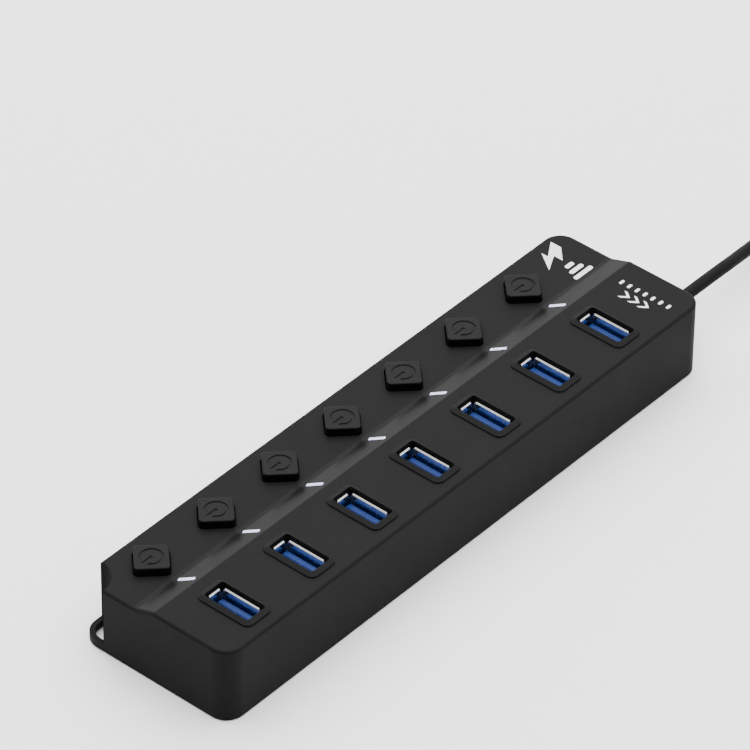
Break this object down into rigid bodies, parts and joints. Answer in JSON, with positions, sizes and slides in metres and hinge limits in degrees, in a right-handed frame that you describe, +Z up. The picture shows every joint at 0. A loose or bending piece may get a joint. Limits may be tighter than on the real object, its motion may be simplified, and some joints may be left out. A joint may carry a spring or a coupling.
{
  "type": "usb hub",
  "caption": "Long low hub with a row of upright sockets, a diamond push button and a light beside each, and a coiled lead ending in a flat plug",
  "frame": {"origin": "centre of the case's length and width, on the surface the feet stand on", "axes": "+X along the case towards the cord end, +Y towards the push buttons, +Z up"},
  "size_m": [0.2857, 0.0697, 0.0231],
  "materials": {
    "case_plastic": "fine satin moulded ABS, charcoal",
    "base_plastic": "fine spark-eroded texture, near black",
    "button_plastic": "satin moulded ABS, dark grey",
    "foot_rubber": "dull soft rubber",
    "screw_steel": "zinc-plated steel",
    "board_laminate": "green solder mask",
    "contact_gold": "gold-plated contacts",
    "switch_plastic": "smooth black nylon",
    "lamp_white": "white lamp packages",
    "chip_plastic": "black moulded packages",
    "can_aluminium": "bare rolled aluminium",
    "can_steel": "drawn steel can",
    "socket_steel": "bright nickel-plated sheet",
    "insulator_blue": "smooth moulded blue nylon",
    "window_plastic": "clear plastic, milky white",
    "cord_jacket": "smooth black extruded jacket",
    "plug_rubber": "satin black overmould"
  },
  "bodies": {
    "housing": {"top_housing": "case_plastic", "bottom_plate": "base_plastic", "rubber_feet": "foot_rubber", "case_screws": "screw_steel", "circuit_board": "board_laminate", "port_contacts": "contact_gold", "switch_bodies": "switch_plastic", "indicator_leds": "lamp_white", "hub_chip": "chip_plastic", "power_chip": "chip_plastic", "capacitors": "can_aluminium", "crystal": "can_steel", "port_shell_1": "socket_steel", "port_tongue_1": "insulator_blue", "light_pipe_1": "window_plastic", "port_shell_2": "socket_steel", "port_tongue_2": "insulator_blue", "light_pipe_2": "window_plastic", "port_shell_3": "socket_steel", "port_tongue_3": "insulator_blue", "light_pipe_3": "window_plastic", "port_shell_4": "socket_steel", "port_tongue_4": "insulator_blue", "light_pipe_4": "window_plastic", "port_shell_5": "socket_steel", "port_tongue_5": "insulator_blue", "light_pipe_5": "window_plastic", "port_shell_6": "socket_steel", "port_tongue_6": "insulator_blue", "light_pipe_6": "window_plastic", "port_shell_7": "socket_steel", "port_tongue_7": "insulator_blue", "light_pipe_7": "window_plastic", "cable_relief": "cord_jacket", "inner_lead": "cord_jacket", "cord_header": "switch_plastic", "cable_lead": "cord_jacket", "cable_coil": "cord_jacket", "cable_tail": "cord_jacket", "plug_overmould": "plug_rubber", "plug_shell": "socket_steel", "plug_insert": "insulator_blue", "plug_contacts": "contact_gold"},
    "button_1": {"button_cap_1": "button_plastic", "switch_plunger_1": "switch_plastic"},
    "button_2": {"button_cap_2": "button_plastic", "switch_plunger_2": "switch_plastic"},
    "button_3": {"button_cap_3": "button_plastic", "switch_plunger_3": "switch_plastic"},
    "button_4": {"button_cap_4": "button_plastic", "switch_plunger_4": "switch_plastic"},
    "button_5": {"button_cap_5": "button_plastic", "switch_plunger_5": "switch_plastic"},
    "button_6": {"button_cap_6": "button_plastic", "switch_plunger_6": "switch_plastic"},
    "button_7": {"button_cap_7": "button_plastic", "switch_plunger_7": "switch_plastic"}
  },
  "joints": [
    {"name": "button_1_press", "type": "slide", "parent": "housing", "child": "button_1", "axis": [0, 0, -1], "range_m": [0, 0.0012], "stiffness_N_per_m": 400},
    {"name": "button_2_press", "type": "slide", "parent": "housing", "child": "button_2", "axis": [0, 0, -1], "range_m": [0, 0.0012], "stiffness_N_per_m": 400},
    {"name": "button_3_press", "type": "slide", "parent": "housing", "child": "button_3", "axis": [0, 0, -1], "range_m": [0, 0.0012], "stiffness_N_per_m": 400},
    {"name": "button_4_press", "type": "slide", "parent": "housing", "child": "button_4", "axis": [0, 0, -1], "range_m": [0, 0.0012], "stiffness_N_per_m": 400},
    {"name": "button_5_press", "type": "slide", "parent": "housing", "child": "button_5", "axis": [0, 0, -1], "range_m": [0, 0.0012], "stiffness_N_per_m": 400},
    {"name": "button_6_press", "type": "slide", "parent": "housing", "child": "button_6", "axis": [0, 0, -1], "range_m": [0, 0.0012], "stiffness_N_per_m": 400},
    {"name": "button_7_press", "type": "slide", "parent": "housing", "child": "button_7", "axis": [0, 0, -1], "range_m": [0, 0.0012], "stiffness_N_per_m": 400}
  ]
}
